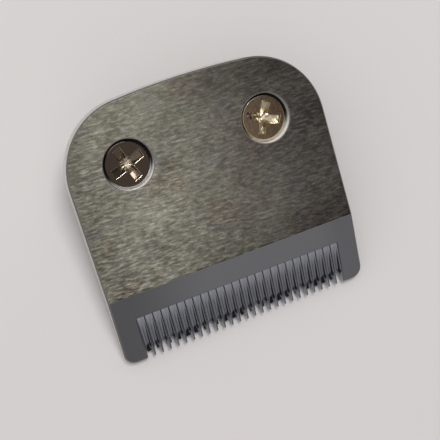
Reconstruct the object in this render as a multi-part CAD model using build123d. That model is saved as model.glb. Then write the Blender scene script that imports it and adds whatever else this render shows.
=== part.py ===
from build123d import *
from math import cos, pi, radians, sin, sqrt, tan
import os

# A detachable hair clipper blade set: a toothed steel plate screwed to a moulded holder, with a
# sprung cutter that slides behind the teeth. Millimetres. The pieces are drawn in the blade's own
# plane: X runs across the teeth, Y from the bevel line to the rear, and Z = 0 is the cutting plane
# where the cutter rubs. The set then lies down on the holder's seat, teeth low, rear raised.

# Fixed blade
blade_width = 37.0
blade_thickness = 2.8
rear_reach = 26.1
rear_edge_radius = 108.0
rear_corner_radius = 9.8
bevel_angle = 12.5
edge_break = 0.2
relief_depth = 0.25
relief_front = 5.2
relief_rear = 0.4

# Fixed teeth
tooth_reach = 9.95
root_reach = 3.4
open_reach = 8.1
groove_count = 26
guard_width = 3.05
guard_corner_radius = 1.6
crest_width = 0.16
groove_lean = 16.0
grind_radius = 16.5
notch_root_width = 0.3
tip_width = 0.2

# Screws and their counterbores
screw_spacing = 20.0
screw_reach = 17.0
bore_clearance = 0.35
bore_depth = 2.0
bore_edge_break = 0.06
screw_hole_clearance = 0.2
head_diameter = 6.2
head_height = 1.1
head_edge_radius = 0.15
shank_diameter = 3.0
shank_length = 6.5
shank_point = 0.5
thread_clearance = 0.05
recess_span = 4.9
recess_width = 1.2
recess_depth = 1.7
recess_core_radius = 0.4
left_recess_turn = 22.0
right_recess_turn = -25.0

# Moving blade
cutter_thickness = 1.35
cutter_pitch = 1.44
cutter_teeth = 21
cutter_tooth_width = 0.76
cutter_reach = 9.2
cutter_root_reach = 6.1
cutter_bevel_reach = 5.8
cutter_tip_thickness = 0.5
cutter_rear = 4.45
cutter_corner = 1.5
cutter_rest_offset = 0.28
stroke = 1.2

# Cutter carrier
carrier_width = 22.0
carrier_front = 2.2
carrier_bar_thickness = 0.85
carrier_web_thickness = 1.5
carrier_web_front = 1.8
peg_diameter = 2.4
peg_spacing = 16.0
peg_height = 1.0
peg_chamfer = 0.2
peg_clearance = 0.05
carrier_corner = 1.0
fork_width = 7.8
fork_height = 4.0
fork_wall = 1.2
fork_corner = 0.7
fork_headroom = 0.4
drive_slot_width = 4.4
drive_slot_length = 6.0
drive_slot_corner = 0.8
running_gap = 0.1

# Pressure spring
wire_diameter = 0.7
coil_diameter = 3.4
coil_turns = 3
coil_pitch = 0.8
coil_reach = 17.2
arm_spacing = 11.6
arm_reach = 1.5
foot_length = 2.2
bridge_length = 3.2
bridge_clearance = 0.15
bend_radius = 0.9

# Blade holder
holder_inset = 2.9
holder_thickness = 2.2
holder_corner = 1.0
wall_thickness = 1.5
rail_depth = 1.6
rail_width = 1.65
boss_diameter = 6.6
rib_thickness = 1.0
rib_depth = 5.0
lug_thickness = 1.3
lug_length = 4.0
lug_drop = 1.6
spring_peg_diameter = 2.4
spring_peg_end = 0.35
spring_peg_chamfer = 0.3
seat_angle = 14.0
seat_depth = 3.1
latch_width = 12.0
latch_radius = 0.6
latch_drop = 1.6
window_clearance = 0.3
window_rear_clearance = 0.8
spring_clearance = 0.05
lug_clearance = 0.2
wire_passage = 0.4


def block(x0, x1, y0, y1, z0, z1):
    """A box between two corners."""
    middle = ((x0 + x1) / 2, (y0 + y1) / 2, (z0 + z1) / 2)
    return Pos(*middle) * Box(x1 - x0, y1 - y0, z1 - z0)


def across(points, half_width):
    """A side profile of (y, z) points, drawn out evenly to both sides."""
    profile = make_face(Polyline(*points, close=True))
    return extrude(Plane.YZ * profile, amount=half_width, both=True)


def mirrored(solid):
    """The solid and its mirror image on the other side of the blade."""
    return solid + mirror(solid, about=Plane.YZ)


# Lines shared by several pieces
pitch = (blade_width - 2 * guard_width) / groove_count
groove_width = pitch - crest_width
bevel_slope = tan(radians(bevel_angle))
seat_slope = tan(radians(seat_angle))
rail_front = cutter_rear + running_gap
rail_rear = rail_front + rail_width
fork_front = rail_rear + running_gap
fork_rear = fork_front + fork_wall + drive_slot_length
carrier_face = cutter_thickness + carrier_bar_thickness
window_half = fork_width / 2 + stroke + window_clearance
window_rear = fork_rear + window_rear_clearance
wire_radius = wire_diameter / 2
arm_depth = max(holder_thickness, carrier_face) + spring_clearance + wire_radius
coil_depth = arm_depth + coil_diameter / 2
arm_half = arm_spacing / 2
arm_spread = coil_pitch / (pi * coil_diameter)
arm_end = arm_half + (coil_reach - arm_reach) * arm_spread
screw_half = screw_spacing / 2
bore_diameter = head_diameter + 2 * bore_clearance
screw_hole_diameter = shank_diameter + 2 * screw_hole_clearance
coil_inner = arm_half - coil_turns * coil_pitch
bridge_rear = coil_reach + bridge_length


def seat_at(y):
    """Height of the holder's seat plane under a place along the blade."""
    return -seat_depth - y * seat_slope


def plan_outline(inset, front, front_radius):
    """Plan of the plate: straight sides, round rear corners, a gently bowed rear edge."""
    half = blade_width / 2 - inset
    bow = rear_edge_radius - inset
    corner_y = rear_reach - inset - bow + sqrt(bow ** 2 - half ** 2)
    sides = Polyline((-half, corner_y), (-half, front), (half, front), (half, corner_y))
    rear = ThreePointArc((half, corner_y), (0, rear_reach - inset), (-half, corner_y))
    plan = make_face(sides + rear)
    plan = fillet(plan.vertices().sort_by(Axis.Y)[-2:], rear_corner_radius - inset)
    if front_radius:
        plan = fillet(plan.vertices().sort_by(Axis.Y)[:2], front_radius)
    return plan


def ground_groove():
    """One groove as the wheel grinds it: leaning walls, and a floor that runs out in the wheel's arc."""
    tilt = radians(bevel_angle)
    slope = Vector(0, -cos(tilt), -sin(tilt))
    across_bevel = Plane(origin=(0, 0, blade_thickness), x_dir=(1, 0, 0), z_dir=slope)
    lean = tan(radians(groove_lean))
    depth = groove_width / 2 / lean * 0.8
    top = groove_width / 2 + lean
    bottom = groove_width / 2 - depth * lean
    section = make_face(Polyline((-top, 1), (top, 1), (bottom, -depth), (-bottom, -depth), close=True))
    walls = extrude(across_bevel * section, amount=(tooth_reach + 2) / cos(tilt))

    def spot(along, below):
        """A place on the side profile, along the bevel from the root and below it."""
        y = -root_reach - along * cos(tilt) + below * sin(tilt)
        return y, blade_thickness - root_reach * bevel_slope - along * sin(tilt) - below * cos(tilt)

    run = (open_reach - root_reach) / cos(tilt)
    deepest = grind_radius - sqrt(grind_radius ** 2 - run ** 2)
    halfway = deepest - grind_radius + sqrt(grind_radius ** 2 - run ** 2 / 4)
    floor = ThreePointArc(spot(0, 0), spot(run / 2, halfway), spot(run, deepest))
    end = tooth_reach + 2
    rest = Polyline(spot(run, deepest), spot(end, deepest), spot(end, -1), spot(0, -1), spot(0, 0))
    swept = extrude(Plane.YZ * make_face(floor + rest), amount=pitch, both=True)
    return walls & swept


def tip_notch():
    """The plan notch between two tooth tips, which leaves each tooth pointed."""
    narrow = notch_root_width / 2
    wide = (pitch - tip_width) / 2
    flare = (wide - narrow) / (tooth_reach - open_reach)
    front = tooth_reach + 0.5
    end = wide + 0.5 * flare
    corners = [(-narrow, -open_reach), (narrow, -open_reach), (end, -front), (-end, -front)]
    plan = make_face(Polyline(*corners, close=True))
    return Pos(0, 0, -1) * extrude(plan, amount=blade_thickness + 1)


def make_fixed_blade():
    """The toothed steel plate."""
    plate = extrude(plan_outline(0, -tooth_reach, guard_corner_radius), amount=blade_thickness)
    run = tooth_reach + 2
    above = blade_thickness + 2
    wedge = [(0, blade_thickness), (-run, blade_thickness - run * bevel_slope), (-run, above), (0, above)]
    plate -= across(wedge, blade_width)
    face = plate.faces().sort_by(Axis.Z)[-1]
    bevel = plate.faces().filter_by(lambda f: 0.5 < f.normal_at().Z < 0.999)[0]
    rim = [e for e in face.edges() + bevel.edges() if abs(e.center().Y) > 0.001]
    plate = chamfer(rim, edge_break)
    groove = ground_groove()
    notch = tip_notch()
    places = [Pos((i + 0.5 - groove_count / 2) * pitch, 0, 0) for i in range(groove_count)]
    plate -= [place * groove for place in places]
    plate -= [place * notch for place in places]
    plate -= block(-blade_width, blade_width, -relief_front, -relief_rear, -1, relief_depth)
    bore_floor = blade_thickness - bore_depth
    bore = Cylinder(bore_diameter / 2, bore_depth, align=(Align.CENTER, Align.CENTER, Align.MIN))
    rim_cone = Cone(bore_diameter / 2, bore_diameter / 2 + bore_edge_break, bore_edge_break)
    hole = Pos(0, 0, bore_floor) * bore
    hole += Pos(0, 0, blade_thickness - bore_edge_break / 2) * rim_cone
    hole += Pos(0, 0, bore_floor / 2) * Cylinder(screw_hole_diameter / 2, bore_floor + 1)
    return plate - mirrored(Pos(screw_half, screw_reach, 0) * hole)


def make_screw(turn):
    """A round-headed screw with a cross recess, its head's seat at Z = 0."""
    head = Cylinder(head_diameter / 2, head_height, align=(Align.CENTER, Align.CENTER, Align.MIN))
    head = fillet(head.edges().sort_by(Axis.Z)[-1], head_edge_radius)
    shank = Cylinder(shank_diameter / 2, shank_length, align=(Align.CENTER, Align.CENTER, Align.MAX))
    shank = chamfer(shank.edges().sort_by(Axis.Z)[0], shank_point)
    wing = Box(recess_span, recess_width, 2 * recess_depth)
    top_down = (Align.CENTER, Align.CENTER, Align.MAX)
    point = Cone(recess_core_radius, recess_span / 2, recess_depth, align=top_down)
    recess = (wing + Rot(Z=90) * wing) & point
    return head + shank - Pos(0, 0, head_height) * Rot(Z=turn) * recess


def make_screws():
    """The two blade screws, stopped at their own angles."""
    seat = blade_thickness - bore_depth
    left = Pos(-screw_half, screw_reach, seat) * make_screw(left_recess_turn)
    right = Pos(screw_half, screw_reach, seat) * make_screw(right_recess_turn)
    return left + right


def make_moving_blade():
    """The cutter: a flat steel comb with a bevelled back and two holes for the carrier."""
    half = ((cutter_teeth - 1) * cutter_pitch + cutter_tooth_width) / 2
    side = [(cutter_rear, 0), (cutter_rear, -cutter_thickness), (-cutter_bevel_reach, -cutter_thickness),
            (-cutter_reach, -cutter_tip_thickness), (-cutter_reach, 0)]
    comb = across(side, half)
    comb = chamfer(comb.edges().filter_by(Axis.Z).sort_by(Axis.Y)[-2:], cutter_corner)
    gap = cutter_pitch - cutter_tooth_width
    root = -cutter_root_reach - gap / 2
    slot = block(-gap / 2, gap / 2, -cutter_reach - 1, root, -cutter_thickness - 1, 1)
    slot += Pos(0, root, 0) * Cylinder(gap / 2, 2 * cutter_thickness + 1)
    count = cutter_teeth - 1
    comb -= [Pos((i + 0.5 - count / 2) * cutter_pitch, 0, 0) * slot for i in range(count)]
    hole = Cylinder(peg_diameter / 2 + peg_clearance, 3 * cutter_thickness)
    comb -= mirrored(Pos(peg_spacing / 2, 0, 0) * hole)
    return Pos(-cutter_rest_offset, 0, 0) * comb


def make_carrier():
    """The moulded slider: a bar on the cutter, a web under the rail, a fork for the drive pin."""
    half = carrier_width / 2
    fork_half = fork_width / 2
    bar = block(-half, half, -carrier_front, cutter_rear, -carrier_face, -cutter_thickness)
    bar = fillet(bar.edges().filter_by(Axis.Z), carrier_corner)
    web_low = -rail_depth - running_gap - carrier_web_thickness
    web_rear = fork_front + fork_wall
    web = block(-fork_half, fork_half, carrier_web_front, web_rear, web_low, -rail_depth - running_gap)
    web += block(-fork_half, fork_half, carrier_web_front, cutter_rear, web_low, -cutter_thickness)
    fork_low = -fork_headroom - fork_height
    fork = block(-fork_half, fork_half, fork_front, fork_rear, fork_low, -fork_headroom)
    fork = fillet(fork.edges().filter_by(Axis.Z).sort_by(Axis.Y)[-2:], fork_corner)
    slot_half = drive_slot_width / 2
    slot = block(-slot_half, slot_half, fork_front + fork_wall, fork_rear + 1, fork_low - 1, 1)
    slot = fillet(slot.edges().filter_by(Axis.Z).sort_by(Axis.Y)[:2], drive_slot_corner)
    root = carrier_bar_thickness / 2
    peg = Cylinder(peg_diameter / 2, peg_height + root, align=(Align.CENTER, Align.CENTER, Align.MIN))
    peg = chamfer(peg.edges().sort_by(Axis.Z)[-1], peg_chamfer)
    pegs = mirrored(Pos(peg_spacing / 2, 0, -cutter_thickness - root) * peg)
    carrier = bar + web + fork + pegs - slot
    return Pos(-cutter_rest_offset, 0, 0) * carrier


def make_spring():
    """A double torsion spring: a bridge, two coils and two spread arms with turned-out feet."""
    turned = Pos(coil_inner, coil_reach, -coil_depth) * Rot(Y=90) * Rot(Z=180)
    coil = turned * Helix(coil_pitch, coil_turns * coil_pitch, coil_diameter / 2)
    corner = coil_inner - bridge_length * arm_spread
    bridge = FilletPolyline((0, bridge_rear, -arm_depth), (corner, bridge_rear, -arm_depth),
                            (coil_inner, coil_reach, -arm_depth), radius=bend_radius)
    arm = FilletPolyline((arm_half, coil_reach, -arm_depth), (arm_end, arm_reach, -arm_depth),
                         (arm_end + foot_length, arm_reach, -arm_depth), radius=bend_radius)
    path = Wire(bridge.edges() + coil.edges() + arm.edges())
    end = Plane(origin=path @ 0, z_dir=path % 0)
    return mirrored(sweep(end * Circle(wire_radius), path=path))


def make_holder():
    """The moulded holder: a plate with a window, a rail, screw bosses, spring lugs and a seat skirt."""
    plan = plan_outline(holder_inset, rail_front, holder_corner)
    inside = plan_outline(holder_inset + wall_thickness, rail_rear, 0)
    deep = seat_depth + rear_reach
    inmost = holder_thickness / 2
    skirt = Pos(0, 0, -deep) * extrude(plan, amount=deep)
    pocket = Pos(0, 0, -deep - holder_thickness) * extrude(inside, amount=deep)
    holder = skirt - pocket
    rail_half = arm_end + wire_radius + wire_passage
    holder -= block(-rail_half, rail_half, rail_front - 1, rail_rear, -deep, -rail_depth)
    holder -= block(-window_half, window_half, rail_rear, window_rear, -deep, 1)
    boss = Cylinder(boss_diameter / 2, deep, align=(Align.CENTER, Align.CENTER, Align.MAX))
    wall_middle = (blade_width - wall_thickness) / 2 - holder_inset
    rib_half = rib_thickness / 2
    rib = block(screw_half, wall_middle, screw_reach - rib_half, screw_reach + rib_half,
                -rib_depth, -inmost)
    holder += mirrored(Pos(screw_half, screw_reach, -inmost) * boss)
    holder += mirrored(rib)
    # The spring lies free of the walls and bosses, down to the depth of its coils.
    lug_in = arm_half + wire_radius + lug_clearance
    coil_room = coil_diameter / 2 + wire_radius + wire_passage
    bay_low = -coil_depth - coil_room
    holder -= block(-lug_in, lug_in, coil_reach - coil_room, coil_reach + coil_room,
                    bay_low, -holder_thickness)
    wire_room = wire_radius + bridge_clearance
    bridge_half = coil_inner + wire_room
    bridge_low = -arm_depth - wire_room
    holder -= block(-bridge_half, bridge_half, coil_reach, bridge_rear + wire_room,
                    bridge_low, -holder_thickness)
    lug_half = lug_length / 2
    lug = block(lug_in, lug_in + lug_thickness, coil_reach - lug_half, coil_reach + lug_half,
                -coil_depth - lug_drop, -inmost)
    peg_length = lug_in + inmost - (coil_inner - wire_radius - spring_peg_end)
    peg = Cylinder(spring_peg_diameter / 2, peg_length, align=(Align.CENTER, Align.CENTER, Align.MAX))
    peg = chamfer(peg.edges().sort_by(Axis.Z)[0], spring_peg_chamfer)
    holder += mirrored(lug)
    holder += mirrored(Pos(lug_in + inmost, coil_reach, -coil_depth) * Rot(Y=90) * peg)
    rear = rear_reach - holder_inset
    latch = Pos(0, rear, -holder_thickness - latch_drop) * Rot(Y=90) * Cylinder(latch_radius, latch_width)
    holder += latch
    screw_hole = Cylinder(shank_diameter / 2 + thread_clearance, 2 * deep)
    holder -= mirrored(Pos(screw_half, screw_reach, 0) * screw_hole)
    behind = 2 * rear_reach
    below = [(-behind, seat_at(-behind)), (behind, seat_at(behind)),
             (behind, -3 * deep), (-behind, -3 * deep)]
    return holder - across(below, blade_width)


pieces = {
    "fixed_blade": make_fixed_blade(),
    "moving_blade": make_moving_blade(),
    "cutter_carrier": make_carrier(),
    "pressure_spring": make_spring(),
    "blade_holder": make_holder(),
    "blade_screws": make_screws(),
}

# The set lies on the holder's seat, with its middle over the origin.
lying = Rot(X=seat_angle)
box = (lying * pieces["fixed_blade"]).bounding_box()
middle_y = (box.min.Y + box.max.Y) / 2
placing = Pos(0, -middle_y, seat_depth * cos(radians(seat_angle))) * lying

os.makedirs("parts", exist_ok=True)
for name, piece in pieces.items():
    export_step(placing * piece, f"parts/{name}.step")
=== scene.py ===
import math
import random
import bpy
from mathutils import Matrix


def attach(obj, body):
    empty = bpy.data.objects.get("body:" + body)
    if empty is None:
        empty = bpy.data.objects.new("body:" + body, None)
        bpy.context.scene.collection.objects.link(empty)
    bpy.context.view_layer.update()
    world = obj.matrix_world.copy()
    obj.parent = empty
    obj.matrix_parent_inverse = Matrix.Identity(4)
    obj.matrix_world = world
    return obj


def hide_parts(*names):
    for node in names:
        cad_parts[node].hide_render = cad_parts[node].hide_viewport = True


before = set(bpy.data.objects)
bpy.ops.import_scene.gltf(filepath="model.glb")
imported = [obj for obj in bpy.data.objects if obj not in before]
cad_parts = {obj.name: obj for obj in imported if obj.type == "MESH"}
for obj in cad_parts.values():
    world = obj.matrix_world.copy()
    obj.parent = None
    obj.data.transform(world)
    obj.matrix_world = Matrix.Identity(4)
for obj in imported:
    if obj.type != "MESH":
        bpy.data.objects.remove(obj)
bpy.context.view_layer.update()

from types import SimpleNamespace

import bmesh
import bpy
from bpy.props import FloatProperty, FloatVectorProperty, PointerProperty
from mathutils import Matrix, Vector

bl_info = {
    "name": "Hair Clipper Blade Set",
    "version": (1, 0, 0),
    "blender": (4, 5, 0),
    "location": "View3D > Sidebar > Clipper Blade",
    "description": "Dresses a hair clipper blade set: plate, teeth, screws, cutter, spring and holder",
    "category": "Object",
}

MM = 0.001

# The blade's own axes, in millimetres. X is the frame's X, Y runs from the bevel line to the rear
# edge, and Z stands out of the brushed face, from 0 at the cutting plane.
TILT = math.radians(14.0)
PLATE = 2.8
BEVEL = math.radians(12.5)
ROW_WIDTH = 30.9
GROOVES = 26
PITCH = ROW_WIDTH / GROOVES
ROW_EDGE = (ROW_WIDTH / 2.0, ROW_WIDTH / 2.0 + 0.15)
BEVEL_LINE = 7.7875
CUTTING_HEIGHT = 3.1
PLATE_SHIFT = Vector((0.0, -BEVEL_LINE, CUTTING_HEIGHT * math.cos(TILT)))
PLATE_NORMAL = (0.0, -math.sin(TILT), math.cos(TILT))
TO_FRAME = Matrix.Scale(MM, 4) @ Matrix.Translation(PLATE_SHIFT) @ Matrix.Rotation(TILT, 4, "X")

# Where a screw stands, and the squared distance from its axis at which its counterbore ends.
SCREW_X = 10.0
SCREW_Y = 17.0
SCREW_SEAT = 0.8
BORE_EDGE = (12.65, 12.85)

# Places in a colour Mix node's list of sockets.
MIX_FACTOR = 0
MIX_FIRST = 6
MIX_SECOND = 7
MIX_RESULT = 2

# Tints of the brushed steel, and of the right counterbore.
WARM = Vector((1.04, 0.93, 0.90))
COOL = Vector((0.99, 1.0, 1.1))
RIGHT_BORE = (1.0, 1.04, 1.1)

# A painted sheen on the brushed face: its middle and its half sizes.
SHEEN_X = -7.0
SHEEN_Y = 10.8
SHEEN_HALF_X = 5.5
SHEEN_HALF_Y = 4.5

# Points this near are one, faces this level are one, and edges past the other angles are sharp.
SAME_POINT = 1e-7
FLAT_ANGLE = math.radians(0.5)
SHARP_ANGLE = math.radians(10.0)
SCREW_SHARP_ANGLE = math.radians(12.0)
RECESS_ANGLE = math.radians(33.0)

# The room: how light it is at each angle, in degrees, from the way of its dark side.
DARK_WAY = Vector((0.64, -0.27, 0.716)).normalized()
DARK_UP_TO = 26
DARK_TINT = (1.0, 0.84, 1.02)
ROOM_TINT = (1.0, 0.985, 0.965)
ROOM_STEPS = (
    (15, 0.02), (19, 0.055), (22, 0.135), (25, 0.37), (27.5, 0.69), (30, 0.88), (32, 0.80),
    (35, 0.62), (40, 0.66), (50, 0.95), (65, 1.3), (95, 1.7), (120, 1.9),
)

# Lengths of a screw, in millimetres. The thread's flank is a share of its pitch.
RIM_MARGIN = 0.02
HEAD_CHAMFER = 0.03
THREAD_START = 0.45
THREAD_END = 0.55
THREAD_FLANK = 0.32
HEAD_CLEAR = 0.4
POINT_CLEAR = 0.3
POINT_TAPER = 0.35
WORN_EDGE = 0.045

# Counts of a screw's mesh, the bites out of its recess, and the distance in metres that is welded.
RIM_STEPS = 6
THREAD_STEPS = 60
SCREW_SIDES = 64
FEWEST_FACES = 500
BITES = 16
BITE_SEED = 12
WELD = 2e-6


class Value:
    """A shader socket that takes part in Python arithmetic."""

    def __init__(self, tree, socket):
        self.tree = tree
        self.socket = socket

    def math(self, operation):
        """A Math node on this value alone."""
        return calculate(self.tree, operation, self)

    def __add__(self, other):
        return calculate(self.tree, "ADD", self, other)

    def __radd__(self, other):
        return calculate(self.tree, "ADD", other, self)

    def __sub__(self, other):
        return calculate(self.tree, "SUBTRACT", self, other)

    def __rsub__(self, other):
        return calculate(self.tree, "SUBTRACT", other, self)

    def __mul__(self, other):
        return calculate(self.tree, "MULTIPLY", self, other)

    def __rmul__(self, other):
        return calculate(self.tree, "MULTIPLY", other, self)

    def __truediv__(self, other):
        return calculate(self.tree, "DIVIDE", self, other)

    def __rtruediv__(self, other):
        return calculate(self.tree, "DIVIDE", other, self)

    def __pow__(self, other):
        return calculate(self.tree, "POWER", self, other)

    def __rpow__(self, other):
        return calculate(self.tree, "POWER", other, self)

    def __neg__(self):
        return calculate(self.tree, "MULTIPLY", self, -1.0)

    def __abs__(self):
        return self.math("ABSOLUTE")


def calculate(tree, operation, *items):
    """A Math node on values and plain numbers, in their order."""
    node = tree.nodes.new("ShaderNodeMath")
    node.operation = operation
    for place, item in zip(node.inputs, items):
        join(tree, place, item)
    return Value(tree, node.outputs[0])


def join(tree, place, item):
    """Links a value to a socket, or writes a plain number or colour into it."""
    if isinstance(item, Value):
        tree.links.new(item.socket, place)
    elif place.type == "RGBA" and len(item) == 3:
        place.default_value = (*item, 1.0)
    else:
        place.default_value = item


class Finish:
    """A material or world in the making, with one method for any node."""

    def __init__(self, owner):
        self.owner = owner
        owner.use_nodes = True
        self.tree = owner.node_tree
        self.tree.nodes.clear()

    def add(self, kind, settings=None, inputs=None, output=0):
        """Any node: settings first, then sockets. Gives the named output, or a list of all for None."""
        node = self.tree.nodes.new(kind)
        for name, setting in (settings or {}).items():
            if name == "stops":
                while len(node.color_ramp.elements) < len(setting):
                    node.color_ramp.elements.new(0.5)
                for element, (place, colour) in zip(node.color_ramp.elements, setting):
                    element.position = place
                    element.color = (*colour, 1.0)
            else:
                setattr(node, name, setting)
        for name, item in (inputs or {}).items():
            join(self.tree, node.inputs[name], item)
        if output is None:
            return [Value(self.tree, socket) for socket in node.outputs]
        return Value(self.tree, node.outputs[output]) if node.outputs else None

    def place(self, scale=(1.0, 1.0, 1.0), blade=True, slant=0.0):
        """Position in millimetres on the blade's own axes or the frame's, scaled to marks a millimetre."""
        spot = self.add("ShaderNodeTexCoord", output="Object")
        turn = -TILT if blade else 0.0
        back = Matrix.Rotation(turn, 3, "X") @ (-PLATE_SHIFT) if blade else Vector()
        spot = self.add("ShaderNodeMapping", {}, {
            "Vector": spot, "Location": back, "Rotation": (turn, 0.0, slant), "Scale": (1.0 / MM,) * 3})
        if tuple(scale) == (1.0, 1.0, 1.0):
            return spot
        return self.add("ShaderNodeVectorMath", {"operation": "MULTIPLY"}, {0: spot, 1: scale})

    def axes(self, spot):
        """The three numbers of a position or a direction."""
        return self.add("ShaderNodeSeparateXYZ", {}, {0: spot}, None)

    def noise(self, spot, detail=2.0, roughness=0.5, distortion=0.0):
        """Soft noise with a grain of about one unit of the position."""
        return self.add("ShaderNodeTexNoise", {}, {
            "Vector": spot, "Scale": 1.0, "Detail": detail, "Roughness": roughness,
            "Distortion": distortion})

    def ease(self, item, low, high):
        """0 below low, 1 above high, smooth between."""
        return self.add("ShaderNodeMapRange", {"interpolation_type": "SMOOTHSTEP"}, {
            "Value": item, "From Min": low, "From Max": high})

    def fall(self, item, low, high):
        """1 below low, 0 above high, smooth between."""
        return 1.0 - self.ease(item, low, high)

    def blend(self, factor, first, second, how="MIX"):
        """Mixes two colours."""
        return self.add("ShaderNodeMix", {"data_type": "RGBA", "blend_type": how}, {
            MIX_FACTOR: factor, MIX_FIRST: first, MIX_SECOND: second}, MIX_RESULT)

    def scaled(self, colour, amount):
        """A colour made lighter or darker."""
        return self.add("ShaderNodeVectorMath", {"operation": "SCALE"}, {0: colour, "Scale": amount})

    def along_way(self, spot, way):
        """How far a direction agrees with another one: 1 when they are the same."""
        return self.add("ShaderNodeVectorMath", {"operation": "DOT_PRODUCT"}, {0: spot, 1: way}, "Value")

    def bump(self, height, distance, strength=1.0):
        """A normal for small heights that the mesh leaves out."""
        return self.add("ShaderNodeBump", {}, {
            "Height": height, "Distance": distance, "Strength": strength})

    def surface(self, **sockets):
        """The shader itself and the way out."""
        inputs = {name.replace("_", " "): item for name, item in sockets.items()}
        shader = self.add("ShaderNodeBsdfPrincipled", {}, inputs)
        self.add("ShaderNodeOutputMaterial", {}, {"Surface": shader})
        return self.owner


class FaceSettings(bpy.types.PropertyGroup):
    """The steel plate's finishes."""
    brushed: FloatVectorProperty(
        name="Brushed face", description="Colour of the brushed steel face",
        subtype="COLOR", default=(0.50, 0.488, 0.395))
    bevel: FloatVectorProperty(
        name="Bevel", description="Colour of the matt ground bevel",
        subtype="COLOR", default=(0.174, 0.178, 0.191))
    groove: FloatVectorProperty(
        name="Groove floors", description="Colour of the freshly ground groove floors",
        subtype="COLOR", default=(0.24, 0.247, 0.283))
    flank: FloatVectorProperty(
        name="Groove flanks", description="Colour of the tooth flanks",
        subtype="COLOR", default=(0.40, 0.41, 0.466))
    crest: FloatVectorProperty(
        name="Crests", description="Colour of the thin lands between the grooves",
        subtype="COLOR", default=(0.05, 0.053, 0.063))
    # Painted shade: the near-black colour low on the tooth flanks and in a pocket at each groove's end.
    groove_shade: FloatVectorProperty(
        name="Grime", description="Colour of the dirt between the teeth",
        subtype="COLOR", default=(0.008, 0.008, 0.01))
    edge: FloatVectorProperty(
        name="Sawn edge", description="Colour of the plate's bright side walls",
        subtype="COLOR", default=(0.62, 0.61, 0.60))
    # Painted shade: the chamfer round the outline is dark, so it shows no bright line.
    broken: FloatVectorProperty(
        name="Broken edge", description="Colour of the dull chamfer round the outline",
        subtype="COLOR", default=(0.13, 0.125, 0.105))
    # Painted shade on the upper lip of each counterbore, where its rounded edge would catch a bright line.
    bore_lip_shade: FloatVectorProperty(
        name="Bore lip", description="Colour of the upper lip of a counterbore",
        subtype="COLOR", default=(0.12, 0.115, 0.11))
    # Painted shade low on the rear wall of each counterbore.
    bore_shade: FloatVectorProperty(
        name="Bore depth", description="Colour low on the rear wall of a counterbore",
        subtype="COLOR", default=(0.03, 0.028, 0.027))
    streak_length: FloatProperty(
        name="Streak length", description="Length of a brushing streak in millimetres",
        default=1.15, min=0.2, max=10.0)
    streak_width: FloatProperty(
        name="Streak width", description="Width of a brushing streak in millimetres",
        default=0.32, min=0.02, max=1.0)
    slant: FloatProperty(
        name="Slant", description="Angle of the brushing to the tooth row",
        subtype="ANGLE", default=math.radians(3.0))
    edge_radius: FloatProperty(
        name="Edge radius", description="Rounding of the plate's ground edges",
        unit="LENGTH", default=0.00003, min=0.0, max=0.001)


class ScrewSettings(bpy.types.PropertyGroup):
    """The two blade screws."""
    # Painted reflections: the same plating is dark on the left screw and golden on the right one, and the
    # left recess is darker than the right.
    left: FloatVectorProperty(
        name="Left screw", description="Colour of the left screw's plating",
        subtype="COLOR", default=(0.115, 0.088, 0.07))
    right: FloatVectorProperty(
        name="Right screw", description="Colour of the right screw's plating",
        subtype="COLOR", default=(0.72, 0.58, 0.335))
    # This colour is also a painted highlight on a stretch at the rear of each rim.
    worn: FloatVectorProperty(
        name="Worn edges", description="Colour of the bright worn edges",
        subtype="COLOR", default=(0.80, 0.74, 0.63))
    recess: FloatVectorProperty(
        name="Left recess", description="Colour of the left screw's stained recess",
        subtype="COLOR", default=(0.13, 0.10, 0.068))
    recess_right: FloatVectorProperty(
        name="Right recess", description="Colour of the right screw's brighter recess",
        subtype="COLOR", default=(0.52, 0.455, 0.33))
    head_diameter: FloatProperty(
        name="Head diameter", description="Across the screw head", unit="LENGTH", default=0.0062)
    head_height: FloatProperty(
        name="Head height", description="Height of the screw head", unit="LENGTH", default=0.0011)
    rim: FloatProperty(
        name="Rim radius", description="Rounding of the head's rim", unit="LENGTH", default=0.00014)
    shank_diameter: FloatProperty(
        name="Shank diameter", description="Across the thread", unit="LENGTH", default=0.003)
    shank_length: FloatProperty(
        name="Shank length", description="Length under the head", unit="LENGTH", default=0.0065)
    thread_pitch: FloatProperty(
        name="Thread pitch", description="Rise of the thread in one turn", unit="LENGTH", default=0.001)
    thread_depth: FloatProperty(
        name="Thread depth", description="Depth of the thread", unit="LENGTH", default=0.0003)
    recess_span: FloatProperty(
        name="Recess span", description="Across two wings of the cross", unit="LENGTH", default=0.0049)
    recess_width: FloatProperty(
        name="Recess width", description="Width of a wing", unit="LENGTH", default=0.0012)
    left_wear: FloatProperty(
        name="Left wear", description="Depth of the bites out of the left recess",
        unit="LENGTH", default=0.00005)
    right_wear: FloatProperty(
        name="Right wear", description="Depth of the bites out of the right recess",
        unit="LENGTH", default=0.00018)
    left_turn: FloatProperty(
        name="Left turn", description="Angle at which the left screw stopped",
        subtype="ANGLE", default=math.radians(22.0))
    right_turn: FloatProperty(
        name="Right turn", description="Angle at which the right screw stopped",
        subtype="ANGLE", default=math.radians(-25.0))


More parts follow.
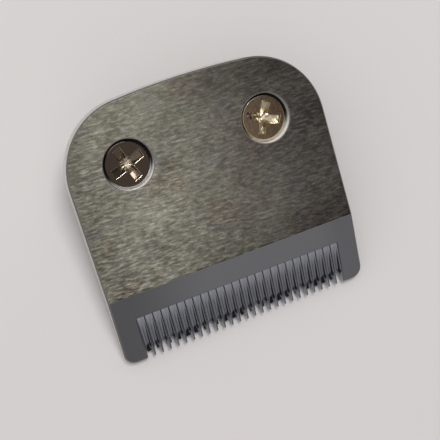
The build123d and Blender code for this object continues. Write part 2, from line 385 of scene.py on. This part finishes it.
class InsideSettings(bpy.types.PropertyGroup):
    """The cutter, the carrier, the spring and the holder."""
    cutter: FloatVectorProperty(
        name="Cutter", description="Colour of the dark ground cutter",
        subtype="COLOR", default=(0.028, 0.0285, 0.032))
    carrier: FloatVectorProperty(
        name="Carrier", description="Colour of the carrier's natural plastic",
        subtype="COLOR", default=(0.72, 0.70, 0.64))
    spring: FloatVectorProperty(
        name="Spring", description="Colour of the drawn spring wire",
        subtype="COLOR", default=(0.55, 0.54, 0.52))
    holder: FloatVectorProperty(
        name="Holder", description="Colour of the holder's moulded plastic",
        subtype="COLOR", default=(0.02, 0.02, 0.021))
    cutter_edge: FloatProperty(
        name="Cutter edges", description="Rounding of the cutter's edges", unit="LENGTH", default=0.00002)
    carrier_edge: FloatProperty(
        name="Carrier edges", description="Rounding of the carrier's edges", unit="LENGTH", default=0.00012)
    holder_edge: FloatProperty(
        name="Holder edges", description="Rounding of the holder's edges", unit="LENGTH", default=0.00015)


class StageSettings(bpy.types.PropertyGroup):
    """Floor, light and camera."""
    floor: FloatVectorProperty(
        name="Floor", description="Colour of the pale floor", subtype="COLOR", default=(0.638, 0.622, 0.627))
    floor_half: FloatProperty(
        name="Floor half", description="Half the floor's width", unit="LENGTH", default=3.0)
    floor_gap: FloatProperty(
        name="Floor gap", description="Room between the holder's rim and the floor",
        unit="LENGTH", default=0.00005, precision=5)
    sky: FloatProperty(
        name="Sky", description="Strength of the soft light from all round", default=0.54, min=0.0)
    key: FloatProperty(
        name="Key", description="Power of the large round lamp above and behind the blade",
        unit="POWER", default=1.78, min=0.0)
    key_place: FloatVectorProperty(
        name="Key place", description="Where the lamp stands",
        subtype="TRANSLATION", unit="LENGTH", default=(0.03, 0.17, 0.57))
    key_size: FloatProperty(
        name="Key size", description="Across the lamp", unit="LENGTH", default=0.26)
    key_colour: FloatVectorProperty(
        name="Key colour", description="Colour of the lamp's light",
        subtype="COLOR", default=(1.0, 0.98, 0.95))
    lens: FloatProperty(
        name="Lens", description="Focal length of the camera in millimetres", default=76.68, min=10.0)
    camera_place: FloatVectorProperty(
        name="Camera place", description="Where the camera stands", precision=6,
        subtype="TRANSLATION", unit="LENGTH", default=(-0.029245, -0.003841, 0.132246))
    camera_turn: FloatVectorProperty(
        name="Camera turn", description="How the camera is turned", subtype="EULER", unit="ROTATION",
        default=[math.radians(angle) for angle in (4.9249, -12.0659, -20.5685)])


def dress(node, material, edge=0.0):
    """Gives a solid its finish, and rounds its sharp edges by modifiers."""
    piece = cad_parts[node]
    piece.data.materials.clear()
    piece.data.materials.append(material)
    if edge:
        weld = piece.modifiers.new("weld", "WELD")
        weld.merge_threshold = SAME_POINT
        plane = piece.modifiers.new("flat faces", "DECIMATE")
        plane.decimate_type = "DISSOLVE"
        plane.angle_limit = FLAT_ANGLE
        bevel = piece.modifiers.new("edge", "BEVEL")
        bevel.width = edge
        bevel.segments = 2
        bevel.limit_method = "ANGLE"
        bevel.angle_limit = SHARP_ANGLE
        even = piece.modifiers.new("even shading", "WEIGHTED_NORMAL")
        even.mode = "FACE_AREA"
        even.weight = 100
        even.keep_sharp = False


def from_screw(x, y):
    """Place seen from the axis of the nearer screw."""
    return (abs(x) - SCREW_X) * x.math("SIGN"), y - SCREW_Y


def plate_zones(f):
    """Where each part of the plate lies, as masks from 0 to 1, with the numbers that they rest on."""
    x, y, z = f.axes(f.place())
    normal = f.add("ShaderNodeNewGeometry", output="Normal")
    nx, ny = f.axes(normal)[:2]
    lies = f.along_way(normal, PLATE_NORMAL)
    behind = f.ease(y, -0.03, 0.03)
    ahead = 1.0 - behind
    across, along = from_screw(x, y)
    mouth = f.fall((abs(x) - SCREW_X) ** 2.0 + along ** 2.0, *BORE_EDGE)
    toothed = ahead * f.fall(abs(x), *ROW_EDGE)
    # Height over the bevel's plane.
    slope = z - PLATE - y * math.tan(BEVEL)
    on_bevel = ahead * f.ease(slope, -0.05, -0.02)
    turned = behind * f.fall(lies, 0.975, 0.995) + ahead * f.fall(lies, 0.9, 0.95)
    return SimpleNamespace(
        x=x, y=y, z=z, front=-y, slope=slope, across=across, along=along, mouth=mouth, toothed=toothed,
        face=f.ease(z, PLATE - 0.12, PLATE - 0.03) * behind * (1.0 - mouth),
        on_bevel=on_bevel,
        cut=toothed * (1.0 - on_bevel),
        flank=f.ease(abs(nx), 0.45, 0.75),
        nose=ahead * f.ease(-ny, 0.55, 0.8),
        broken=turned * f.ease(lies, 0.25, 0.45) * (1.0 - mouth) * (1.0 - toothed))


def brushed_tone(f, look, zone):
    """Colour of the brushed face, its streaks, and how strong they are from place to place."""
    x, y = zone.x, zone.y
    # Short streaks across the blade, finer scratches along them, nicks, grit and broad cloudy patches.
    strokes = (1.0 / look.streak_length, 1.0 / look.streak_width, 0.3)
    short = f.noise(f.place(strokes, slant=look.slant), distortion=0.5)
    fine = f.noise(f.place((0.45, 9.0, 0.3), slant=look.slant), roughness=0.6)
    nicks = f.ease(f.noise(f.place((1.1, 6.0, 1.0), slant=look.slant), detail=0.0), 0.79, 0.85)
    grit = f.noise(f.place((3.4, 3.4, 3.4)), detail=1.0)
    cloud = f.noise(f.place((0.42, 0.5, 0.4)), detail=3.0, roughness=0.55)
    tint = f.noise(f.place((0.17, 0.2, 0.2)))
    brushing = short * 0.7 + fine * 0.3
    streak = f.ease(brushing, 0.36, 0.64)
    ridge = f.ease(brushing, 0.57, 0.68)

    # The streaks are stronger to the left and near the bevel.
    to_right = f.ease(x, -10.0, 14.0)
    past_front = f.ease(y, 1.0, 8.0)
    past_middle = f.ease(y, 14.0, 22.0)
    amount = (1.24 - to_right * 0.76) * (1.22 - past_front * 0.22 - past_middle * 0.2)
    shade = 0.96 + (streak - 0.5) * 0.55 * amount + ridge * 0.35 * amount
    shade = shade + (cloud - 0.5) * 0.5 - (tint - 0.5) * 0.7
    shade = shade + nicks * 0.8 + (grit - 0.5) * 0.5

    # Darker along the ragged bevel line, in the front apart from its left end, at the left edge
    # and in the right rear. A painted sheen makes one patch on the left lighter.
    bevel_line = f.fall(y + (short - 0.5) * 0.5, 0.08, 0.22)
    front = f.fall(y, -0.5, 6.5) * f.ease(x, -11.0, -3.0)
    left_edge = f.ease(-x, 13.5, 18.0)
    right_rear = f.ease(y, 19.5, 25.0) * f.ease(x, -3.0, 4.0)
    # Painted sheen: a lighter patch on the left of the face.
    aside = (x - SHEEN_X) / SHEEN_HALF_X
    along = (y - SHEEN_Y) / SHEEN_HALF_Y
    painted_sheen = f.fall(aside ** 2.0 + along ** 2.0, 0.1, 1.3)
    shade = shade * (1.0 - bevel_line * 0.4) * (1.0 - front * 0.36)
    shade = shade * (1.0 + painted_sheen * 0.24 - left_edge * 0.2 - right_rear * 0.22)

    warm = f.ease(tint, 0.54, 0.66)
    cool = f.ease(f.noise(f.place((0.3, 0.35, 0.3))), 0.52, 0.66)
    steel = Vector(look.brushed)
    tone = f.blend(warm * 0.6, steel, steel * WARM)
    tone = f.blend(cool * 0.6, tone, steel * COOL)
    return f.scaled(tone, shade), streak, amount


def bevel_tone(f, look, zone, grain):
    """Colour of the matt bevel, darker at both ends, and of the thin lands between the grooves."""
    left_end = f.ease(-zone.x, 3.0, 17.0)
    right_end = f.ease(zone.x, 12.0, 17.0)
    tips = f.ease(zone.front, 7.2, 9.0)
    grooved = zone.toothed * f.ease(zone.front, 3.35, 3.6)
    matt = f.scaled(tuple(look.bevel), 0.9 + grain * 0.3 - left_end * 0.42 - right_end * 0.16)
    land = f.scaled(tuple(look.crest), 0.85 + grain * 0.3 + tips * 1.5)
    return f.blend(grooved, matt, land)


def groove_tone(f, look, zone, lines):
    """Colour of the scored groove floors and flanks, with painted light and shade on the floors, and painted
    shade low on the flanks and at the ends.
    """
    front = zone.front
    # Place across one groove, from 0 at one land's middle to 1 at the next.
    step = (zone.x / PITCH).math("FRACT")
    # Painted light and shade on the floors: the left half is lighter, and the right half and the middle
    # darker toward the tips, as if lit from the right. The whole groove is darker toward the front, as if
    # shaded deeper in.
    left_half = f.fall(step, 0.40, 0.46)
    right_half = f.ease(step, 0.54, 0.62)
    middle = f.fall(abs(step - 0.5), 0.03, 0.1) * f.ease(front, 4.4, 5.8)
    sides = left_half * 0.16 - right_half * f.ease(front, 5.6, 7.6) * 0.22
    forward_shade = f.ease(front, 3.4, 6.0)
    tone = f.blend(zone.flank, tuple(look.groove), tuple(look.flank))
    tone = f.scaled(tone, (0.8 + lines * 0.4) * (1.1 - forward_shade * 0.3))
    tone = f.scaled(tone, 1.0 + (sides - middle * 0.5) * (1.0 - zone.flank))
    # Painted shade low on the flanks.
    groove_shade = zone.flank * f.ease(-zone.slope, 0.17, 0.42) * f.fall(front, 8.3, 8.8)
    tone = f.blend(groove_shade * 0.95, tone, tuple(look.groove_shade))
    # Painted shade: a dark pocket at the end of each groove, standing in for the shaded cutter below the
    # slot.
    ends = f.ease(front, 7.75, 8.0) * f.fall(front, 8.3, 8.5)
    pocket_shade = right_half * f.fall(step, 0.88, 0.94) * ends
    return f.blend(pocket_shade * 0.7, tone, tuple(look.groove_shade))


def wall_tone(f, look, zone):
    """Colour of the bright side walls, and of the counterbores, with painted light that makes a counterbore
    bright in front, more so on the left, and painted shade that makes it dark on its upper lip and low at
    the rear.
    """
    mouth = zone.mouth
    worn = f.noise(f.place((2.0, 2.0, 0.6)), detail=3.0)
    tone = f.scaled(tuple(look.edge), 0.8 + worn * 0.35)
    # Painted light and shade in the counterbores: the front half is lit, more on the left, and the rear half
    # shaded.
    painted_shade = f.fall(zone.across * 0.1 - zone.along * 0.995, 0.2, 2.6)
    right = f.ease(zone.x, -1.0, 1.0)
    lit = (1.0 - painted_shade) * (1.45 - right * 0.5)
    # Painted shade on the upper lip and low on the rear wall.
    lip = mouth * f.ease(zone.z, PLATE - 0.1, PLATE - 0.06)
    low = mouth * f.fall(zone.z, 1.6, 2.2)
    tone = f.scaled(tone, 1.0 + mouth * (lit - 0.4))
    tone = f.blend(mouth * right, tone, RIGHT_BORE, "MULTIPLY")
    tone = f.blend(lip, tone, tuple(look.bore_lip_shade))
    return f.blend(low * painted_shade, tone, tuple(look.bore_shade))


def plate_steel(look):
    """Brushed face, matt bevel, ground grooves, bright walls and counterbores of the fixed blade."""
    f = Finish(bpy.data.materials.new("plate_steel"))
    zone = plate_zones(f)
    grain = f.noise(f.place((9.0, 9.0, 9.0)), detail=3.0, roughness=0.6)
    lines = f.noise(f.place((15.0, 0.5, 0.5)), roughness=0.6)
    brushed, streak, amount = brushed_tone(f, look, zone)
    matt = bevel_tone(f, look, zone, grain)
    colour = f.blend(zone.nose, wall_tone(f, look, zone), matt)
    colour = f.blend(zone.toothed, colour, groove_tone(f, look, zone, lines))
    colour = f.blend(zone.on_bevel, colour, matt)
    colour = f.blend(zone.face, colour, brushed)
    # Painted shade on the chamfer round the outline.
    colour = f.blend(zone.broken, colour, tuple(look.broken))
    rough = 0.30 + (streak * 0.06 - 0.14) * zone.face + zone.on_bevel * 0.34 + zone.cut * 0.1
    rough = rough + zone.mouth * 0.2 + zone.broken * 0.15
    metal = 1.0 - zone.on_bevel * 0.35 - zone.mouth * 0.82 - zone.cut * 0.6 - zone.broken * 0.4
    height = streak * zone.face * 0.4 * amount + grain * zone.on_bevel * 0.4 + lines * zone.cut * 0.2
    marked = f.bump(height, distance=0.000012)
    return f.surface(Base_Color=colour, Roughness=rough, Metallic=metal, Normal=marked)


def lathe(profile, sides, wave):
    """A closed turned body from (radius, height) points, first and last on the axis."""
    body = bmesh.new()
    rings = []
    for radius, height in profile:
        if radius == 0.0:
            rings.append([body.verts.new((0.0, 0.0, height))])
            continue
        ring = []
        for k in range(sides):
            angle = 2.0 * math.pi * k / sides
            reach = radius + wave(angle, height)
            ring.append(body.verts.new((reach * math.cos(angle), reach * math.sin(angle), height)))
        rings.append(ring)
    for upper, lower in zip(rings, rings[1:]):
        for k in range(sides):
            n = (k + 1) % sides
            if len(upper) == 1:
                body.faces.new((upper[0], lower[k], lower[n]))
            elif len(lower) == 1:
                body.faces.new((upper[n], upper[k], lower[0]))
            else:
                body.faces.new((upper[k], lower[k], lower[n], upper[n]))
    return whole_mesh(body, "turned")


def cross_tool(levels, wear, seed):
    """A cross-shaped punch through (height, half span, half width, core) levels, its walls chewed."""
    dice = random.Random(seed)
    bites = [Vector((dice.uniform(-1.0, 1.0), dice.uniform(-1.0, 1.0), 0.0)) for k in range(BITES)]
    body = bmesh.new()
    rings = []
    for height, span, width, core in levels:
        ring = []
        outline = ((span, -width), (span, width), (core, width), (width, core))
        depth = wear * min(1.0, width / levels[0][2])
        for quarter in range(4):
            turn = Matrix.Rotation(quarter * math.pi / 2.0, 4, "Z")
            for place in outline:
                spot = turn @ Vector((place[0], place[1], height))
                ring.append(body.verts.new(spot + bites[len(ring)] * depth))
        rings.append(ring)
    count = len(rings[0])
    for upper, lower in zip(rings, rings[1:]):
        for k in range(count):
            n = (k + 1) % count
            body.faces.new((upper[k], lower[k], lower[n], upper[n]))
    body.faces.new(rings[0])
    body.faces.new(rings[-1])
    return whole_mesh(body, "punch")


def whole_mesh(body, name):
    """Turns a closed body's faces outward and makes it a mesh."""
    bmesh.ops.recalc_face_normals(body, faces=body.faces)
    mesh = bpy.data.meshes.new(name)
    body.to_mesh(mesh)
    body.free()
    return mesh


def screw_profile(look):
    """Half outline of a screw in millimetres, from the head's top to the blunt point, seat at height 0."""
    radius = look.head_diameter / MM / 2.0
    top = look.head_height / MM
    rim = look.rim / MM
    shank = look.shank_diameter / MM / 2.0
    length = look.shank_length / MM
    core = shank - look.thread_depth / MM
    profile = [(0.0, top), (radius - rim - RIM_MARGIN, top)]
    for k in range(RIM_STEPS + 1):
        angle = math.pi / 2.0 * k / RIM_STEPS
        profile.append((radius - rim + rim * math.sin(angle), top - rim + rim * math.cos(angle)))
    profile += [(radius, HEAD_CHAMFER), (radius - HEAD_CHAMFER, 0.0), (shank, 0.0)]
    run = length - (THREAD_START + THREAD_END)
    for k in range(1, THREAD_STEPS + 1):
        profile.append((core, -length + THREAD_END + run * (1.0 - k / THREAD_STEPS)))
    return profile + [(core - POINT_TAPER, -length), (0.0, -length)]


def screw_mesh(look, wear, seed):
    """One screw in millimetres: rounded rim, punched recess, tapping thread, blunt point."""
    top = look.head_height / MM
    length = look.shank_length / MM
    pitch = look.thread_pitch / MM
    deep = look.thread_depth / MM

    def thread(angle, height):
        """How far the thread stands out of the core."""
        if height > -HEAD_CLEAR or height < -length + POINT_CLEAR:
            return 0.0
        lead = (height / pitch - angle / (2.0 * math.pi)) % 1.0
        return deep * max(0.0, 1.0 - abs(lead - 0.5) / THREAD_FLANK)

    solid = bpy.data.objects.new("screw", lathe(screw_profile(look), SCREW_SIDES, thread))
    half = look.recess_span / MM / 2.0
    wide = look.recess_width / MM / 2.0
    # The punch from above the head down to its tip.
    levels = [
        (top + 0.1, half + 0.03, wide + 0.03, wide + 0.22),
        (top, half, wide, wide + 0.2),
        (top - 0.42, half - 0.16, wide - 0.08, wide + 0.14),
        (top - 0.75, half * 0.55, wide - 0.16, wide - 0.02),
        (top - 1.35, 0.5, 0.22, 0.3),
        (top - 1.55, 0.2, 0.1, 0.15),
    ]
    punch = bpy.data.objects.new("punch", cross_tool(levels, wear, seed))
    for item in (solid, punch):
        bpy.context.scene.collection.objects.link(item)
    cut = solid.modifiers.new("recess", "BOOLEAN")
    cut.operation = "DIFFERENCE"
    cut.solver = "EXACT"
    cut.object = punch
    soft = solid.modifiers.new("soft", "BEVEL")
    soft.width = WORN_EDGE
    soft.segments = 2
    soft.limit_method = "ANGLE"
    soft.angle_limit = RECESS_ANGLE
    bpy.context.view_layer.update()
    done = bpy.data.meshes.new_from_object(solid.evaluated_get(bpy.context.evaluated_depsgraph_get()))
    for item in (solid, punch):
        mesh = item.data
        bpy.data.objects.remove(item)
        bpy.data.meshes.remove(mesh)
    if len(done.polygons) < FEWEST_FACES:
        raise RuntimeError("the screw did not come out whole")
    return done


def screw_nickel(look):
    """Polished plating: a flat top, bright worn edges, a chewed stained recess with a bright core, with
    painted reflections in the two screws' colours and a painted highlight on the rear of each rim.
    """
    f = Finish(bpy.data.materials.new("screw_nickel"))
    head_top = SCREW_SEAT + look.head_height / MM
    radius = look.head_diameter / MM / 2.0
    half = look.recess_span / MM / 2.0
    x, y, z = f.axes(f.place())
    rub = f.noise(f.place((3.0, 3.0, 3.0)), detail=3.0, roughness=0.6)
    chewed = f.noise(f.place((2.6, 2.6, 2.6)))
    lies = f.along_way(f.add("ShaderNodeNewGeometry", output="True Normal"), PLATE_NORMAL)
    flat = f.ease(lies, 0.985, 0.998) * f.ease(z, head_top - 0.08, head_top - 0.04)
    across, along = from_screw(x, y)
    out = (across ** 2.0 + along ** 2.0) ** 0.5
    wings = f.ease(out, 0.5, 0.9) * f.fall(out, half + 0.15, half + 0.45)
    deep = f.fall(z, head_top - 0.2, head_top - 0.08) * wings
    right = f.ease(x, -1.0, 1.0)
    # Painted reflections: the left screw's top and recess are dark, the right one's golden and light.
    top = f.blend(right, tuple(look.left), tuple(look.right))
    stain = f.blend(right, tuple(look.recess), tuple(look.recess_right))
    # The rim has the top's colour, apart from a stretch at the rear that carries a painted highlight in the
    # worn colour.
    no_painted_highlight = f.fall(along * 0.95 - across * 0.3, 2.5, 2.9)
    rim = f.ease(out, radius - 0.4, radius - 0.3) * no_painted_highlight
    tone = f.blend(deep, f.blend(rim, tuple(look.worn), top), stain)
    tone = f.scaled(f.blend(flat, tone, top), 0.85 + rub * 0.3)
    height = rub * 0.2 + chewed * deep * (0.5 + right * 1.5)
    return f.surface(
        Base_Color=tone, Roughness=0.07 + rub * 0.14, Metallic=1.0 - deep * (1.0 - right) * 0.3,
        Normal=f.bump(height, distance=0.00003))


def plain_metal(name, colour, rough, grain):
    """Ground or drawn metal with a fine grain."""
    f = Finish(bpy.data.materials.new(name))
    marks = f.noise(f.place(grain), detail=3.0, roughness=0.6)
    tone = f.blend(marks, Vector(colour) * 0.82, Vector(colour) * 1.12)
    scratched = f.bump(marks, distance=0.000006, strength=0.5)
    return f.surface(
        Base_Color=tone, Roughness=rough + marks * 0.12, Metallic=1.0, Normal=scratched)


def moulded(name, colour, rough):
    """Moulded plastic with a fine eroded texture."""
    f = Finish(bpy.data.materials.new(name))
    pits = f.noise(f.place((7.0, 7.0, 7.0)), roughness=0.6)
    broad = f.noise(f.place((0.2, 0.2, 0.2)))
    tone = f.blend(broad, Vector(colour) * 0.85, Vector(colour) * 1.1)
    pitted = f.bump(pits, distance=0.00001, strength=0.35)
    return f.surface(Base_Color=tone, Roughness=rough + pits * 0.15, Normal=pitted)


class CLIPPER_OT_fixed_blade(bpy.types.Operator):
    """Finishes the toothed steel plate"""
    bl_idname = "clipper.fixed_blade"
    bl_label = "Fixed Blade"

    def execute(self, context):
        look = context.scene.clipper_face
        dress("fixed_blade", plate_steel(look), look.edge_radius)
        return {"FINISHED"}


class CLIPPER_OT_moving_blade(bpy.types.Operator):
    """Finishes the sliding cutter"""
    bl_idname = "clipper.moving_blade"
    bl_label = "Moving Blade"

    def execute(self, context):
        look = context.scene.clipper_inside
        steel = plain_metal("cutter_steel", look.cutter, rough=0.35, grain=(0.5, 12.0, 2.0))
        dress("moving_blade", steel, look.cutter_edge)
        return {"FINISHED"}


class CLIPPER_OT_carrier(bpy.types.Operator):
    """Finishes the plastic carrier under the cutter"""
    bl_idname = "clipper.carrier"
    bl_label = "Cutter Carrier"

    def execute(self, context):
        look = context.scene.clipper_inside
        dress("cutter_carrier", moulded("carrier_plastic", look.carrier, rough=0.38), look.carrier_edge)
        return {"FINISHED"}


class CLIPPER_OT_spring(bpy.types.Operator):
    """Finishes the wire spring"""
    bl_idname = "clipper.spring"
    bl_label = "Pressure Spring"

    def execute(self, context):
        look = context.scene.clipper_inside
        wire = plain_metal("spring_wire", look.spring, rough=0.25, grain=(3.0, 3.0, 3.0))
        dress("pressure_spring", wire)
        return {"FINISHED"}


class CLIPPER_OT_holder(bpy.types.Operator):
    """Finishes the moulded holder"""
    bl_idname = "clipper.holder"
    bl_label = "Blade Holder"

    def execute(self, context):
        look = context.scene.clipper_inside
        dress("blade_holder", moulded("holder_plastic", look.holder, rough=0.42), look.holder_edge)
        return {"FINISHED"}


class CLIPPER_OT_screws(bpy.types.Operator):
    """Models the two cross-recess screws with their threads"""
    bl_idname = "clipper.screws"
    bl_label = "Blade Screws"

    def execute(self, context):
        look = context.scene.clipper_screw
        both = bpy.data.meshes.new("screw_pair")
        joined = bmesh.new()
        pair = ((-1, look.left_turn, look.left_wear), (1, look.right_turn, look.right_wear))
        for side, turn, wear in pair:
            one = screw_mesh(look, wear / MM, BITE_SEED + side)
            spot = Matrix.Translation((side * SCREW_X, SCREW_Y, SCREW_SEAT))
            one.transform(TO_FRAME @ spot @ Matrix.Rotation(turn, 4, "Z"))
            joined.from_mesh(one)
            bpy.data.meshes.remove(one)
        bmesh.ops.remove_doubles(joined, verts=joined.verts, dist=WELD)
        bmesh.ops.dissolve_degenerate(joined, edges=joined.edges, dist=WELD)
        joined.to_mesh(both)
        joined.free()
        both.shade_smooth()
        both.set_sharp_from_angle(angle=SCREW_SHARP_ANGLE)
        both.materials.append(screw_nickel(look))
        piece = bpy.data.objects.new("screw_pair", both)
        context.scene.collection.objects.link(piece)
        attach(piece, "base")
        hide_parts("blade_screws")
        return {"FINISHED"}


class CLIPPER_OT_stage(bpy.types.Operator):
    """Sets the pale floor, the soft light and the camera"""
    bl_idname = "clipper.stage"
    bl_label = "Stage"

    def execute(self, context):
        scene = context.scene
        look = scene.clipper_stage
        self.lay_floor(scene, look)
        self.light_room(scene, look)
        self.set_lamp(scene, look)
        self.set_camera(scene, look)
        scene.view_settings.view_transform = "Standard"
        return {"FINISHED"}

    def lay_floor(self, scene, look):
        """A wide sheet of pale paper under the holder."""
        half = look.floor_half
        corners = [(-half, -half, 0), (half, -half, 0), (half, half, 0), (-half, half, 0)]
        sheet = bpy.data.meshes.new("floor")
        sheet.from_pydata(corners, [], [(0, 1, 2, 3)])
        floor = bpy.data.objects.new("floor", sheet)
        floor.location.z = -look.floor_gap
        scene.collection.objects.link(floor)
        f = Finish(bpy.data.materials.new("floor_paper"))
        cloud = f.noise(f.place((0.02, 0.02, 0.02), blade=False))
        tone = f.blend(cloud, Vector(look.floor) * 0.985, Vector(look.floor) * 1.015)
        sheet.materials.append(f.surface(Base_Color=tone, Roughness=0.75))

    def light_room(self, scene, look):
        """Soft light from all round, with one dark side that the polished steel shows."""
        world = bpy.data.worlds.new("room")
        scene.world = world
        f = Finish(world)
        facing = f.along_way(f.add("ShaderNodeTexCoord", output="Generated"), DARK_WAY)
        away = facing.math("ARCCOSINE") / math.pi
        stops = [(angle / 180.0, Vector(ROOM_TINT if angle > DARK_UP_TO else DARK_TINT) * level)
                 for angle, level in ROOM_STEPS]
        sky = f.add("ShaderNodeValToRGB", {"stops": stops}, {"Fac": away})
        lit = f.add("ShaderNodeBackground", {}, {"Color": sky, "Strength": look.sky})
        f.add("ShaderNodeOutputWorld", {}, {"Surface": lit})

    def set_lamp(self, scene, look):
        """A large round lamp, turned to the blade."""
        lamp = bpy.data.lights.new("key", "AREA")
        lamp.shape = "DISK"
        lamp.size = look.key_size
        lamp.energy = look.key
        lamp.color = look.key_colour
        key = bpy.data.objects.new("key", lamp)
        key.location = look.key_place
        key.rotation_euler = (-key.location).to_track_quat("-Z", "Y").to_euler()
        scene.collection.objects.link(key)

    def set_camera(self, scene, look):
        """The camera at the photograph's viewing angle."""
        lens = bpy.data.cameras.new("camera")
        lens.lens = look.lens
        lens.sensor_width = 36.0
        lens.clip_start = 0.005
        camera = bpy.data.objects.new("camera", lens)
        camera.location = look.camera_place
        camera.rotation_euler = look.camera_turn
        scene.collection.objects.link(camera)
        scene.camera = camera


class CLIPPER_PT_panel(bpy.types.Panel):
    """Lists the steps that dress the blade set, and their settings"""
    bl_label = "Clipper Blade"
    bl_idname = "CLIPPER_PT_panel"
    bl_space_type = "VIEW_3D"
    bl_region_type = "UI"
    bl_category = "Clipper Blade"

    def draw(self, context):
        layout = self.layout
        for step in STEPS:
            layout.operator(step.bl_idname)
        for name in SETTINGS:
            group = getattr(context.scene, name)
            box = layout.box()
            for item in group.bl_rna.properties.keys():
                if item not in {"rna_type", "name"}:
                    box.prop(group, item)


SETTINGS = {
    "clipper_face": FaceSettings,
    "clipper_screw": ScrewSettings,
    "clipper_inside": InsideSettings,
    "clipper_stage": StageSettings,
}
STEPS = (
    CLIPPER_OT_fixed_blade, CLIPPER_OT_moving_blade, CLIPPER_OT_carrier, CLIPPER_OT_spring,
    CLIPPER_OT_holder, CLIPPER_OT_screws, CLIPPER_OT_stage,
)
CLASSES = (*SETTINGS.values(), *STEPS, CLIPPER_PT_panel)


def register():
    """Makes the settings, the steps and the panel known."""
    for item in CLASSES:
        bpy.utils.register_class(item)
    for name, group in SETTINGS.items():
        setattr(bpy.types.Scene, name, PointerProperty(type=group))


def unregister():
    """Takes them away again."""
    for name in reversed(SETTINGS):
        delattr(bpy.types.Scene, name)
    for item in reversed(CLASSES):
        bpy.utils.unregister_class(item)


def main():
    """Dresses the blade set step by step."""
    register()
    for step in STEPS:
        group, name = step.bl_idname.split(".")
        getattr(getattr(bpy.ops, group), name)()
    bpy.context.view_layer.update()


if __name__ == "__main__":
    main()
